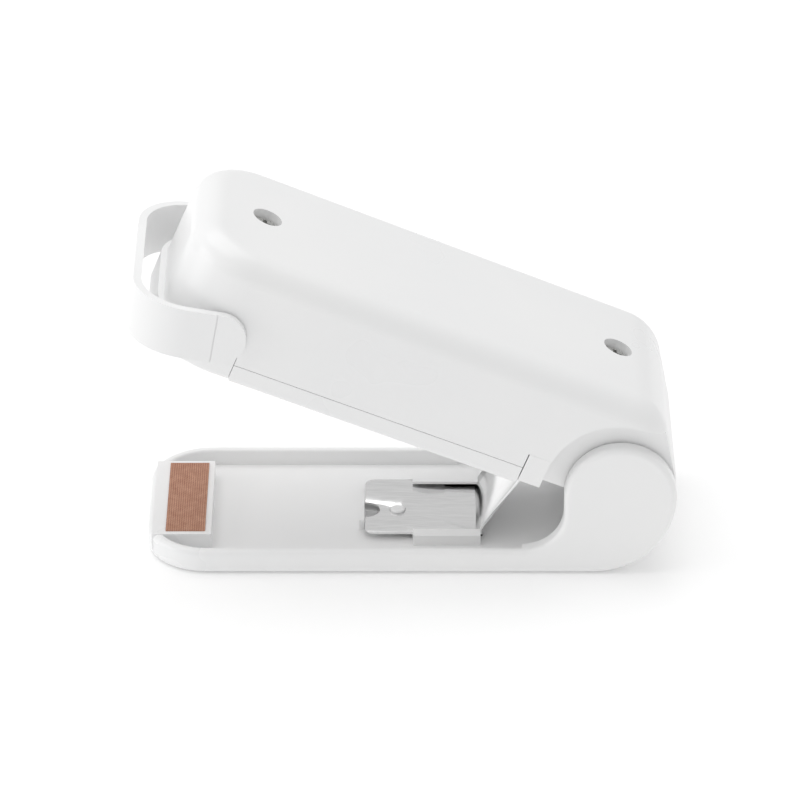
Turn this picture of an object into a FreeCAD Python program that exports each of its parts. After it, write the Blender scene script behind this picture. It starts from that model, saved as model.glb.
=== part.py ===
"""Handheld bag heat sealer: a battery-powered clamp that welds the mouth of a plastic bag.

Frame of the model, in millimetres: the origin is the middle of the flat underside of the base, +X runs
along the base from the sealing end to the hinge, +Y across it and +Z up. The jaws stand open, as the
return spring holds them.

The upper jaw is drawn in its own frame, with the hinge axis at its origin and its underside level, and is
then placed by the opening angle. The heater head is drawn as it lies when the jaws are shut, so that it
comes down square on the pad. The locking loop is drawn about its own pivot.
"""
import FreeCAD, Part
import math
import os
import re

import Sketcher

V = FreeCAD.Vector
doc = FreeCAD.newDocument("bag_heat_sealer")

# ---------------------------------------------------------------------------------------------------
# Driving dimensions
# ---------------------------------------------------------------------------------------------------
SIZES = [
    # base
    ("base_length", 90.8, "sealing end to the back of the hinge ears"),
    ("base_width", 37.6, "over the side walls"),
    ("rim_height", 4.3, "top of the tray rim above the underside"),
    ("floor_thickness", 1.4, "floor of the tray"),
    ("rim_width", 1.7, "wall of the tray"),
    ("front_corner", 10.5, "plan radius of the sealing end"),
    ("ear_radius", 9.6, "round hinge ears"),
    ("ear_thickness", 2.8, "each hinge ear"),
    ("back_wall", 7.5, "top of the wall behind the hinge"),
    ("ear_root", 7.0, "hollow radius from the rim up into the ear"),
    ("heel_radius", 14.2, "rounding under the hinge end"),
    ("hinge_height", 15.7, "hinge axis above the underside"),
    ("ear_height", 14.5, "middle of the round ears above the underside"),
    ("edge_round", 1.0, "outer edges of the base"),
    ("trunnion_radius", 2.5, "pins moulded inside the ears"),
    ("trunnion_reach", 2.5, "how far each pin stands in from its ear"),
    ("bearing_gap", 0.06, "radial play of the trunnions"),
    ("side_gap", 0.4, "between ear and upper jaw"),
    # sealing pad
    ("pad_length", 6.8, "sealing pad along X"),
    ("pad_width", 23.8, "sealing pad along Y"),
    ("pad_setback", 3.2, "sealing end of the base to the pad"),
    ("pad_border", 1.0, "plastic frame round the pad"),
    ("pad_step", 0.1, "frame of the pad above the rim"),
    ("rubber_thickness", 1.8, "silicone strip under the tape"),
    ("tape_thickness", 0.2, "glass cloth tape"),
    # return spring and its holder
    ("spring_front", 43.7, "hinge axis to the front edge of the flat leg"),
    ("spring_fold", 22.8, "hinge axis to the fold"),
    ("spring_width", 18.6, "width of the strip"),
    ("spring_sheet", 0.4, "thickness of the strip"),
    ("spring_rise", 56.0, "angle of the raised leg"),
    ("spring_leg", 16.7, "length of the raised leg"),
    ("notch_radius", 2.6, "half-round notch for the catch"),
    ("pin_setback", 5.7, "front edge of the spring to the locating pin"),
    ("pin_radius", 1.3, "locating pin"),
    ("pin_shift", 1.4, "notch and pin off the middle of the strip"),
    ("rail_front", 35.4, "hinge axis to the front of the rails"),
    ("rail_length", 11.7, "length of the rails"),
    ("near_rail", 2.2, "thickness of the near rail's wall"),
    ("near_lip", 0.15, "how far the near rail reaches over the spring"),
    ("far_rail", 1.65, "thickness of the far rail's wall"),
    ("far_lip", 1.9, "how far the far rail reaches over the spring"),
    ("rail_height", 1.9, "top of the rails above the floor"),
    ("lip_thickness", 0.45, "lip of each rail"),
    ("spring_lift", 0.9, "flat leg above the floor"),
    ("pin_dome", 0.3, "locating pin above the spring"),
    ("catch_length", 9.2, "ridge that stops the spring"),
    ("catch_height", 0.9, "ridge that stops the spring"),
    ("fit_gap", 0.1, "clearance of parts that are slid or laid in"),
    # upper jaw
    ("open_angle", 22.0, "jaw opening, underside against the base"),
    ("shut_angle", 4.6, "nose-down angle of the underside when shut"),
    ("wall", 1.6, "wall of the mouldings"),
    ("nose_overhang", 4.0, "nose of the upper jaw beyond the end of the base"),
    ("nose_step", 1.0, "front of the nose beyond the top shell"),
    ("nose_floor", 1.4, "floor of the nose"),
    ("nose_rear", 71.9, "hinge axis to the rear wall of the nose, inside"),
    ("block_front", 17.3, "hinge axis to the front of the hinge block"),
    ("block_rear", 13.4, "hinge axis to the rear of the hinge block's ends"),
    ("nose_corner", 12.0, "plan radius of the nose"),
    ("shell_corner", 11.0, "plan radius of the shell"),
    ("shell_crest", 9.0, "rounding between top face and rear wall"),
    ("shell_draft", 1.0, "slope of the side walls"),
    ("shell_round", 4.5, "rounding of the top edge"),
    ("shell_height", 16.8, "top face above the hinge axis, at the axis"),
    ("top_slope", 0.6, "rise of the top face towards the front"),
    ("rear_slope", 33.0, "upward tilt of the rear wall's normal"),
    ("nose_bottom", 4.6, "underside of the nose below the axis"),
    ("rear_bottom", 4.1, "underside of the hinge block below the axis"),
    ("door_bottom", 4.9, "underside of the battery door below the axis"),
    ("seam_low", 1.5, "side seam below the axis, along the door"),
    ("seam_high", 1.2, "end seams above the axis"),
    ("seam_gap", 0.1, "open seams"),
    ("door_front", 70.0, "hinge axis to the front of the door"),
    ("door_rear", 17.5, "hinge axis to the rear of the door"),
    ("door_round", 0.8, "lower edges of the door"),
    ("door_floor", 1.4, "thickness of the door's floor"),
    ("tongue_reach", 0.5, "guide tongues of the door"),
    ("tongue_height", 0.9, "guide tongues of the door"),
    ("pocket_gap", 3.7, "hollow in the shell ahead of each ear"),
    ("pocket_rise", 2.8, "hollow in the shell above each ear"),
    # batteries
    ("cell_radius", 7.1, "AA cell"),
    ("cell_body", 49.2, "AA cell without its cap"),
    ("cap_radius", 2.75, "positive cap"),
    ("cap_length", 1.3, "positive cap"),
    ("cell_spacing", 0.3, "between the two cells"),
    ("cell_height", 5.9, "cell axis above the hinge axis"),
    ("cell_gap", 0.25, "between a cell and the walls of the bay"),
    ("bay_front", 70.4, "hinge axis to the front of the bay's end wall"),
    ("bay_end", 1.6, "front end wall of the bay"),
    ("bay_rear", 16.3, "hinge axis to the rear end of the bay's room"),
    ("bay_wall", 1.1, "side walls and roof of the bay"),
    ("contact_sheet", 0.4, "contact plates"),
    ("contact_width", 8.0, "contact plates"),
    ("tongue_rise", 3.0, "root of the sprung tongues above the cell axis"),
    ("tongue_face", 0.5, "half height of the tongue's contact face"),
    # screws
    ("screw_front", 71.8, "hinge axis to the front screw"),
    ("screw_rear", 7.0, "hinge axis to the rear screw"),
    ("screw_depth", 1.3, "screw head below the top face"),
    ("recess_radius", 2.6, "screw recess"),
    ("head_radius", 2.25, "screw head"),
    ("head_height", 1.4, "screw head"),
    ("shank_radius", 1.1, "screw shank"),
    ("shank_length", 8.5, "screw shank"),
    ("seat_thickness", 1.2, "plastic under the screw head"),
    ("boss_radius", 3.0, "screw bosses of the lower housing"),
    ("boss_foot", 6.4, "foot of the front boss above the hinge axis"),
    ("slot_width", 0.7, "cross recess"),
    # heater head
    ("head_length", 5.0, "insulating block along X"),
    ("head_width", 25.0, "insulating block along Y"),
    ("head_shift", 0.9, "block ahead of the middle of the pad"),
    ("head_depth", 3.1, "insulating block"),
    ("head_play", 0.3, "block in the window of the nose"),
    ("flange_reach", 1.0, "flange of the block"),
    ("flange_lift", 2.2, "sealing face to the flange"),
    ("stem_radius", 1.5, "stem that lifts the switch blade"),
    ("stem_gap", 0.1, "between stem and blade at rest"),
    ("flange_thickness", 1.0, "flange of the block"),
    ("switch_lift", 1.1, "how far the blade rises to its contact"),
    ("jaw_gap", 0.1, "between the two tapes when shut"),
    ("strip_width", 2.5, "heating strip"),
    ("strip_thickness", 0.2, "heating strip"),
    ("mica_thickness", 0.3, "insulating sheet"),
    ("lug_width", 4.0, "terminal lugs"),
    ("blade_width", 4.0, "switch blade"),
    ("blade_sheet", 0.25, "switch blade"),
    ("ledge_width", 1.5, "ledges under the ends of the blade"),
    ("ledge_height", 4.0, "ledges of the blade above the hinge axis"),
    ("lead_radius", 0.6, "insulated leads"),
    # locking loop
    ("pivot_setback", 10.9, "front of the nose to the loop pivot"),
    ("pivot_height", 2.8, "loop pivot above the hinge axis"),
    ("loop_droop", 12.0, "loop below the line of the jaw"),
    ("loop_reach", 14.2, "pivot to the inside of the bar"),
    ("loop_sheet", 1.4, "thickness of the strap"),
    ("loop_half", 4.5, "half height of the strap"),
    ("loop_corner", 8.4, "inner plan radius of the loop"),
    ("loop_gap", 0.15, "between strap and jaw"),
    ("loop_pin_radius", 1.5, "pivot pins of the loop"),
    ("crease_reach", 1.0, "pivot to the shallow crease across each arm"),
    ("crease_depth", 0.2, "shallow crease across each arm"),
]

sheet = doc.addObject("Spreadsheet::Sheet", "dims")
for row, (alias, size, note) in enumerate(SIZES, start=1):
    sheet.set("A%d" % row, note)
    sheet.set("B%d" % row, str(size))
    sheet.setAlias("B%d" % row, alias)
doc.recompute()
ALIASES = {alias for alias, size, note in SIZES}

# Names for formulas that several pieces share, written in the sheet's aliases.
SHARED = {
    "shell_reach": "nose_reach - nose_step",
    "pivot_reach": "nose_reach - pivot_setback",
    "nose_reach": "base_length - ear_radius + nose_overhang",
    "jaw_half": "base_width / 2",
    "pocket_radius": "ear_radius + pocket_gap",
    "pocket_top": "ear_radius + pocket_rise",
    "hinge_x": "base_length / 2 - ear_radius",
    "spring_bed": "floor_thickness + spring_lift",
    "ear_inside": "base_width / 2 - ear_thickness",
    "barrel_half": "base_width / 2 - ear_thickness - side_gap",
    "pad_top": "rim_height + pad_step",
    "seal_face": "rim_height + pad_step + tape_thickness + jaw_gap",
    "pad_front": "-base_length / 2 + pad_setback",
    "bay_half": "cell_pitch / 2 + cell_radius + cell_gap",
    "cell_pitch": "2 * cell_radius + cell_spacing",
    "bay_roof": "cell_height + cell_radius + cell_gap",
    "bay_fore": "bay_front - bay_end",
    "head_mid": "-base_length / 2 + pad_setback + pad_length / 2 - head_shift",
}


def formula(text):
    """Put the sheet's name before each alias, after writing out the shared formulas."""
    text = str(text)
    for name, meaning in SHARED.items():
        text = re.sub(r"\b%s\b" % name, "(%s)" % meaning, text)
    return re.sub(r"\b[a-z]+(_[a-z]+)*\b",
                  lambda word: "dims." + word.group(0) if word.group(0) in ALIASES else word.group(0), text)


def number(text):
    """Value of a formula as the document works it out."""
    return float(sheet.evalExpression(formula(text)))


# ---------------------------------------------------------------------------------------------------
# Short forms for sketches and features
# ---------------------------------------------------------------------------------------------------
def pin_point(sketch, geometry, position, along, up):
    """Fix a sketch point by its two coordinates, each a formula."""
    for kind, value, axis in (("DistanceX", along, -2), ("DistanceY", up, -1)):
        if str(value) == "0":
            sketch.addConstraint(Sketcher.Constraint("PointOnObject", geometry, position, axis))
        else:
            index = sketch.addConstraint(
                Sketcher.Constraint(kind, -1, 1, geometry, position, number(value)))
            sketch.setExpression("Constraints[%d]" % index, formula(value))


def draw_path(sketch, corners):
    """Open line through points (along, up) given as formulas."""
    spots = [V(number(c[0]), number(c[1]), 0) for c in corners]
    for i, (start, end) in enumerate(zip(spots, spots[1:])):
        line = sketch.addGeometry(Part.LineSegment(start, end), False)
        if i:
            sketch.addConstraint(Sketcher.Constraint("Coincident", line - 1, 2, line, 1))
        pin_point(sketch, line, 1, *corners[i])
    pin_point(sketch, line, 2, *corners[-1])


def draw_outline(sketch, corners):
    """Closed outline through corners (along, up) or (along, up, radius), all given as formulas."""
    spots = [V(number(c[0]), number(c[1]), 0) for c in corners]
    radii = [number(c[2]) if len(c) > 2 else 0.0 for c in corners]
    count = len(corners)
    entry, leave, arcs = [], [], {}
    for i, spot in enumerate(spots):
        back = (spots[i - 1] - spot).normalize()
        ahead = (spots[(i + 1) % count] - spot).normalize()
        half = back.getAngle(ahead) / 2
        trim = radii[i] / math.tan(half) if radii[i] else 0.0
        entry.append(spot + back * trim)
        leave.append(spot + ahead * trim)
        if radii[i]:
            centre = spot + (back + ahead).normalize() * (radii[i] / math.sin(half))
            left_turn = back.cross(ahead).z < 0
            first, last = (entry[i], leave[i]) if left_turn else (leave[i], entry[i])
            angles = [math.atan2(p.y - centre.y, p.x - centre.x) for p in (first, last)]
            arcs[i] = (centre, angles, left_turn)
    lines = [sketch.addGeometry(Part.LineSegment(leave[i], entry[(i + 1) % count]), False)
             for i in range(count)]
    for i, corner in enumerate(corners):
        before, after = lines[i - 1], lines[i]
        if i not in arcs:
            sketch.addConstraint(Sketcher.Constraint("Coincident", before, 2, after, 1))
            pin_point(sketch, after, 1, corner[0], corner[1])
            continue
        centre, angles, left_turn = arcs[i]
        circle = Part.Circle(centre, V(0, 0, 1), radii[i])
        arc = sketch.addGeometry(Part.ArcOfCircle(circle, angles[0], angles[1]), False)
        mark = sketch.addGeometry(Part.Point(spots[i]), True)
        first, last = (1, 2) if left_turn else (2, 1)
        pin_point(sketch, mark, 1, corner[0], corner[1])
        sketch.addConstraint(Sketcher.Constraint("PointOnObject", mark, 1, before))
        sketch.addConstraint(Sketcher.Constraint("PointOnObject", mark, 1, after))
        sketch.addConstraint(Sketcher.Constraint("Tangent", before, 2, arc, first))
        sketch.addConstraint(Sketcher.Constraint("Tangent", arc, last, after, 1))
        index = sketch.addConstraint(Sketcher.Constraint("Radius", arc, radii[i]))
        sketch.setExpression("Constraints[%d]" % index, formula(corner[2]))


def draw_box(sketch, left, right, low, high, radius=None):
    """Closed rectangle between four formulas, with all corners rounded if a radius is given."""
    corners = [(left, low), (right, low), (right, high), (left, high)]
    draw_outline(sketch, [c + (radius,) for c in corners] if radius else corners)


def draw_circle(sketch, along, up, radius):
    """Circle whose centre and radius are formulas."""
    round_line = Part.Circle(V(number(along), number(up), 0), V(0, 0, 1), number(radius))
    circle = sketch.addGeometry(round_line, False)
    pin_point(sketch, circle, 3, along, up)
    index = sketch.addConstraint(Sketcher.Constraint("Radius", circle, number(radius)))
    sketch.setExpression("Constraints[%d]" % index, formula(radius))


class Moulding:
    """A PartDesign body with short forms for the features that build it."""

    def __init__(self, label):
        self.label = label
        self.body = doc.addObject("PartDesign::Body", label)

    def step(self, kind, purpose):
        return self.body.newObject(kind, "%s_%s" % (self.label, purpose))

    def sketch(self, purpose, plane, level="0"):
        """Empty sketch on an origin plane, moved along +Z, -Y or +X of the body to the level."""
        origin = [f for f in self.body.Origin.OriginFeatures if f.Role == plane + "_Plane"][0]
        sketch = self.step("Sketcher::SketchObject", purpose + "_sketch")
        sketch.AttachmentSupport = (origin, [""])
        sketch.MapMode = "FlatFace"
        sketch.setExpression("AttachmentOffset.Base.z", formula(level))
        doc.recompute()
        return sketch

    def sweep(self, kind, purpose, sketch, length, side, draft):
        feature = self.step("PartDesign::" + kind, purpose)
        feature.Profile = sketch
        feature.Refine = True
        if length is None:
            feature.Type = "ThroughAll"
        else:
            feature.Length = number(length)
            feature.setExpression("Length", formula(length))
        if side == "both":
            feature.SideType = "Symmetric"
        feature.Reversed = side == "back"
        if draft:
            feature.setExpression("TaperAngle", formula(draft))
        doc.recompute()
        return feature

    def pad(self, purpose, sketch, length, side="normal", draft=None):
        return self.sweep("Pad", purpose, sketch, length, side, draft)

    def pocket(self, purpose, sketch, length=None, side="normal"):
        before = self.body.Shape.Volume
        feature = self.sweep("Pocket", purpose, sketch, length, side, None)
        if self.body.Shape.Volume > before - 1e-6:
            raise RuntimeError("%s of %s cut nothing" % (purpose, self.label))
        return feature

    def fillet(self, purpose, radius, chosen):
        """Round the edges that the test picks on the shape so far."""
        names = ["Edge%d" % i for i, edge in enumerate(self.body.Shape.Edges, start=1) if chosen(edge)]
        if not names:
            raise RuntimeError("%s of %s found no edge" % (purpose, self.label))
        base = self.body.Tip
        feature = self.step("PartDesign::Fillet", purpose)
        feature.Base = (base, names)
        feature.Radius = number(radius)
        feature.setExpression("Radius", formula(radius))
        doc.recompute()
        if "Invalid" in feature.State or feature.Shape.isNull():
            raise RuntimeError("%s of %s failed" % (purpose, self.label))
        return feature


def spans(edge, axis):
    """Lowest and highest value of an edge along x, y or z."""
    box = edge.BoundBox
    return {"x": (box.XMin, box.XMax), "y": (box.YMin, box.YMax), "z": (box.ZMin, box.ZMax)}[axis]


def at(edge, axis, value, tolerance=1e-3):
    """True if the whole edge lies at one value of an axis."""
    low, high = spans(edge, axis)
    return abs(low - value) < tolerance and abs(high - value) < tolerance


def slab(label, left, right, low, high, level, height):
    """Rectangular sheet or strip: plan between four formulas, raised from a level."""
    piece = Moulding(label)
    plan = piece.sketch("plan", "XY", level)
    draw_box(plan, left, right, low, high)
    piece.pad("sheet", plan, height)
    return piece


# ---------------------------------------------------------------------------------------------------
# Frames: where each drawn piece is put
# ---------------------------------------------------------------------------------------------------
FRAMES = {
    "base": ("0", "0", "0"),
    "jaw": ("hinge_x", "hinge_height", "open_angle"),
    "head": ("0", "0", "0"),
    "loop": ("hinge_x - pivot_reach * cos(open_angle) + pivot_height * sin(open_angle)",
             "hinge_height + pivot_reach * sin(open_angle) + pivot_height * cos(open_angle)",
             "open_angle - loop_droop"),
}
# The head is drawn where it lies shut, so it turns about the hinge, not about its own origin.
HEAD_TURN = "(open_angle + shut_angle)"
FRAMES["head"] = ("hinge_x - hinge_x * cos(%s) - hinge_height * sin(%s)" % (HEAD_TURN, HEAD_TURN),
                  "hinge_height + hinge_x * sin(%s) - hinge_height * cos(%s)" % (HEAD_TURN, HEAD_TURN),
                  HEAD_TURN)
NODES = []


def deliver(piece, frame):
    """Put a finished piece in its frame and list it for writing."""
    item = piece.body
    if frame != "base":
        along, up, turn = FRAMES[frame]
        item.Placement = FreeCAD.Placement(V(), FreeCAD.Rotation(V(0, 1, 0), number(turn)))
        item.setExpression("Placement.Base.x", formula(along))
        item.setExpression("Placement.Base.z", formula(up))
        item.setExpression("Placement.Rotation.Angle", formula(turn))
    NODES.append(item)


# ---------------------------------------------------------------------------------------------------
# Base: tray with hinge ears, sealing pad and return spring
# ---------------------------------------------------------------------------------------------------
def make_base_shell():
    """Tray, ears and trunnions in one moulding, with the pad frame and the spring's holder."""
    base = Moulding("base_shell")
    side = base.sketch("side", "XZ")
    draw_outline(side, [
        ("-base_length / 2", "0"),
        ("base_length / 2", "0", "heel_radius"),
        ("base_length / 2", "ear_height"),
        ("hinge_x - ear_radius", "ear_height"),
        ("hinge_x - ear_radius", "rim_height", "ear_root"),
        ("-base_length / 2", "rim_height"),
    ])
    base.pad("side_block", side, "base_width", "both")
    ears = base.sketch("ear", "XZ")
    draw_circle(ears, "hinge_x", "ear_height", "ear_radius")
    base.pad("ear_discs", ears, "base_width", "both")

    front, half = -number("base_length / 2"), number("base_width / 2")
    base.fillet("front_corners", "front_corner",
                lambda e: at(e, "x", front) and abs(abs(e.BoundBox.Center.y) - half) < 1e-3)

    def on_outside(edge):
        upright = edge.BoundBox.ZLength > 0.1
        if at(edge, "y", half) or at(edge, "y", -half):
            return not (upright and edge.BoundBox.Center.x < 0)
        ahead = edge.BoundBox.XMax < front + number("front_corner") + 1e-3
        return ahead and not upright
    base.fillet("outer_edges", "edge_round", on_outside)

    tray = base.sketch("tray", "XY", "rim_height")
    inner_half = "(base_width / 2 - rim_width)"
    tray_end = "hinge_x - ear_radius - ear_root"
    draw_outline(tray, [
        ("-base_length / 2 + rim_width", "-" + inner_half, "front_corner - rim_width"),
        (tray_end, "-" + inner_half),
        (tray_end, inner_half),
        ("-base_length / 2 + rim_width", inner_half, "front_corner - rim_width"),
    ])
    base.pocket("tray", tray, "rim_height - floor_thickness")
    seat = base.sketch("seat", "XZ")
    draw_outline(seat, [
        (tray_end + " - rim_width", "floor_thickness"),
        ("base_length / 2 - floor_thickness", "floor_thickness", "heel_radius - floor_thickness"),
        ("base_length / 2 - floor_thickness", "hinge_height + ear_radius + 1"),
        (tray_end + " - rim_width", "hinge_height + ear_radius + 1"),
    ])
    base.pocket("seat", seat, "2 * ear_inside", "both")
    back = base.sketch("back", "XZ")
    draw_box(back, "hinge_x", "base_length / 2 + 1", "back_wall", "hinge_height + ear_radius + 1")
    base.pocket("back", back, "2 * ear_inside", "both")

    rim = number("rim_height")
    base.fillet("rim_edge", "edge_round / 2", lambda e: (
        at(e, "z", rim) and e.BoundBox.XMax < number(tray_end) + 1e-3
        and e.BoundBox.XMin > front + number("rim_width") - 1e-3
        and max(abs(e.BoundBox.YMin), abs(e.BoundBox.YMax)) < number(inner_half) + 1e-3
        and not at(e, "x", number(tray_end))))

    pins = base.sketch("trunnion", "XZ")
    draw_circle(pins, "hinge_x", "hinge_height", "trunnion_radius")
    base.pad("trunnions", pins, "2 * ear_inside + ear_thickness", "both")
    between = base.sketch("between_trunnions", "XZ")
    draw_circle(between, "hinge_x", "hinge_height", "trunnion_radius + 1")
    base.pocket("between_trunnions", between, "2 * (ear_inside - trunnion_reach)", "both")

    frame = base.sketch("pad_frame", "XY", "floor_thickness")
    draw_box(frame, "-base_length / 2 + rim_width / 2", "pad_front + pad_length + pad_border",
             "-pad_width / 2 - pad_border", "pad_width / 2 + pad_border")
    base.pad("pad_frame", frame, "pad_top - floor_thickness")
    bed = base.sketch("pad_bed", "XY", "pad_top")
    draw_box(bed, "pad_front", "pad_front + pad_length", "-pad_width / 2", "pad_width / 2")
    base.pocket("pad_bed", bed, "rubber_thickness")

    rail_left, rail_right = "hinge_x - rail_front", "hinge_x - rail_front + rail_length"
    feet = base.sketch("rail_feet", "XY", "floor_thickness")
    walls = base.sketch("rail_walls", "XY", "floor_thickness")
    lips = base.sketch("rail_lips", "XY", "floor_thickness + rail_height - lip_thickness")
    for sign, rail, lip in (("-", "near_rail", "near_lip"), ("", "far_rail", "far_lip")):
        outer = "%s(spring_width / 2 + fit_gap + %s)" % (sign, rail)
        under = "%s(spring_width / 2 - %s)" % (sign, lip)
        beside = "%s(spring_width / 2 + fit_gap)" % sign
        for sketch, inner in ((feet, under), (walls, beside), (lips, under)):
            draw_box(sketch, rail_left, rail_right, *sorted([outer, inner], key=number))
    base.pad("rail_feet", feet, "spring_lift")
    base.pad("rail_walls", walls, "rail_height")
    base.pad("rail_lips", lips, "lip_thickness")

    catch = base.sketch("catch", "XY", "floor_thickness")
    edge = "hinge_x - spring_front"
    draw_box(catch, edge + " - fit_gap - rim_width / 2", edge + " - fit_gap",
             "-pin_shift - catch_length / 2", "-pin_shift + catch_length / 2")
    base.pad("catch", catch, "spring_lift + catch_height")
    core = base.sketch("catch_core", "XY", "floor_thickness")
    draw_box(core, edge, edge + " + notch_radius - spring_sheet",
             "-pin_shift - 0.7 * notch_radius", "-pin_shift + 0.7 * notch_radius")
    base.pocket("catch_core", core)
    step = base.sketch("pin_step", "XY", "floor_thickness")
    draw_circle(step, edge + " + pin_setback", "-pin_shift", "2 * pin_radius")
    base.pad("pin_step", step, "spring_lift")
    pin = base.sketch("pin", "XY", "floor_thickness")
    draw_circle(pin, edge + " + pin_setback", "-pin_shift", "pin_radius")
    base.pad("pin", pin, "spring_lift + spring_sheet + pin_dome")
    pin_top = number("spring_bed + spring_sheet + pin_dome")
    base.fillet("pin_dome", "0.9 * pin_dome",
                lambda e: at(e, "z", pin_top) and abs(e.BoundBox.XLength - 2 * number("pin_radius")) < 1e-3)
    deliver(base, "base")


def make_sealing_pad():
    """Silicone strip with the glass cloth tape on it, in the frame of the base."""
    sides = ("pad_front", "pad_front + pad_length", "-pad_width / 2", "pad_width / 2")
    deliver(slab("silicone_pad", *sides, "pad_top - rubber_thickness", "rubber_thickness"), "base")
    deliver(slab("pad_tape", *sides, "pad_top", "tape_thickness"), "base")


def make_leaf_spring():
    """Bent strip: the flat leg slides under the rails, the raised leg pushes the upper jaw open."""
    spring = Moulding("leaf_spring")
    side = spring.sketch("side", "XZ")
    front, fold = "hinge_x - spring_front", "hinge_x - spring_fold"
    tip_x = fold + " + spring_leg * cos(spring_rise)"
    tip_z = "spring_bed + spring_leg * sin(spring_rise)"
    draw_outline(side, [
        (front, "spring_bed"),
        (fold, "spring_bed", "2 * spring_sheet"),
        (tip_x, tip_z),
        (tip_x + " - spring_sheet * sin(spring_rise)", tip_z + " + spring_sheet * cos(spring_rise)"),
        (fold + " - spring_sheet * tan(spring_rise / 2)", "spring_bed + spring_sheet", "spring_sheet"),
        (front, "spring_bed + spring_sheet"),
    ])
    spring.pad("strip", side, "spring_width", "both")
    x_front, half = number(front), number("spring_width / 2")
    spring.fillet("corners", "notch_radius / 1.5",
                  lambda e: at(e, "x", x_front) and abs(abs(e.BoundBox.Center.y) - half) < 1e-3)
    holes = spring.sketch("holes", "XY", "spring_bed + spring_sheet")
    draw_circle(holes, front, "-pin_shift", "notch_radius")
    draw_circle(holes, front + " + pin_setback", "-pin_shift", "pin_radius + fit_gap")
    spring.pocket("holes", holes)
    deliver(spring, "base")


# ---------------------------------------------------------------------------------------------------
# Upper jaw housings, drawn about the hinge axis with the underside level
# ---------------------------------------------------------------------------------------------------
def top_at(distance):
    """Height of the top face at a distance ahead of the hinge axis."""
    return "(shell_height + %s * tan(top_slope))" % distance


def seat_at(distance):
    """Height of the face that a screw head sits on."""
    return "(%s - screw_depth - head_height)" % top_at(distance)


def cover_form(label, inset):
    """Body of the cover: the outside with no inset, the room inside with an inset of the wall."""
    form = Moulding(label)
    plan = form.sketch("plan", "XY", "-seam_low - %s" % inset)
    half = "(jaw_half - %s)" % inset
    draw_outline(plan, [
        ("-shell_reach + %s" % inset, "-" + half, "shell_corner - %s" % inset),
        ("ear_radius + wall", "-" + half),
        ("ear_radius + wall", half),
        ("-shell_reach + %s" % inset, half, "shell_corner - %s" % inset),
    ])
    form.pad("block", plan, "shell_height + seam_low + 2 * wall", draft="-shell_draft")
    height, back = "(shell_height - %s)" % inset, "(ear_radius - %s)" % inset
    crest = "(%s - %s * sin(rear_slope)) / (cos(rear_slope) - tan(top_slope) * sin(rear_slope))"
    crest %= (back, height)
    outside = form.sketch("outside", "XZ")
    draw_outline(outside, [
        ("-shell_reach - wall", "%s + (shell_reach + wall) * tan(top_slope)" % height),
        (crest, "%s - (%s) * tan(top_slope)" % (height, crest), "shell_crest - %s" % inset),
        (back, "%s * (1 - cos(rear_slope)) / sin(rear_slope)" % back, back),
        (back, "-seam_low - 2 * wall"),
        ("ear_radius + 3 * wall", "-seam_low - 2 * wall"),
        ("ear_radius + 3 * wall", "shell_height + 3 * wall"),
        ("-shell_reach - wall", "shell_height + 3 * wall"),
    ])
    form.pocket("outside", outside, "3 * jaw_half", "both")

    def on_top(edge):
        return all(abs(v.Z - number(height) + v.X * number("tan(top_slope)")) < 1e-3 for v in edge.Vertexes)
    form.fillet("top_edge", "shell_round - %s" % inset, on_top)

    level = "barrel_half - %s" % inset
    for side, sign, way in (("near", "", "back"), ("far", "-", "normal")):
        pocket = form.sketch("ear_hollow_" + side, "XZ", "%s(%s)" % (sign, level))
        draw_outline(pocket, [
            ("-pocket_radius - %s" % inset, "-seam_low - 2 * wall"),
            ("ear_radius + 3 * wall", "-seam_low - 2 * wall"),
            ("ear_radius + 3 * wall", "pocket_top + %s" % inset),
            ("-pocket_radius - %s" % inset, "pocket_top + %s" % inset, "pocket_top + %s" % inset),
        ])
        form.pocket("ear_hollow_" + side, pocket, "jaw_half", way)
    return form


def make_top_shell():
    """Rounded cover: drafted sides, slanted rear wall, hollows round the ears and two screw recesses."""
    shell = cover_form("top_shell", "0")
    room = cover_form("top_shell_room", "wall")
    hollow = shell.step("PartDesign::Boolean", "hollow")
    hollow.Type = "Cut"
    hollow.setObjects([room.body])
    doc.recompute()

    for end, left, right in (("nose", "-shell_reach - wall", "-door_front"),
                             ("rear", "-door_rear", "ear_radius + wall")):
        step = shell.sketch(end + "_step", "XZ")
        draw_box(step, left, right, "-seam_low - wall", "seam_high")
        shell.pocket(end + "_step", step, "3 * jaw_half", "both")
    holes = shell.sketch("side_holes", "XZ")
    draw_circle(holes, "0", "0", "trunnion_radius + bearing_gap")
    draw_circle(holes, "-pivot_reach", "pivot_height", "loop_pin_radius + bearing_gap")
    shell.pocket("side_holes", holes, "3 * jaw_half", "both")

    for end, distance in (("front", "screw_front"), ("rear", "screw_rear")):
        under = "(%s - seat_thickness)" % seat_at(distance)
        boss = shell.sketch(end + "_boss", "XY", under)
        draw_circle(boss, "-" + distance, "0", "recess_radius + wall")
        shell.pad(end + "_boss", boss, "%s - wall / 2 - %s" % (top_at(distance), under))
        recess = shell.sketch(end + "_recess", "XY", seat_at(distance))
        draw_circle(recess, "-" + distance, "0", "recess_radius")
        shell.pocket(end + "_recess", recess, "screw_depth + head_height + wall", "back")
        bore = shell.sketch(end + "_bore", "XY", seat_at(distance))
        draw_circle(bore, "-" + distance, "0", "shank_radius + fit_gap")
        shell.pocket(end + "_bore", bore, "2 * seat_thickness")
    deliver(shell, "jaw")


HEAD_ALONG = "((head_mid - hinge_x) * cos(shut_angle) + (seal_face - hinge_height) * sin(shut_angle))"


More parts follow.
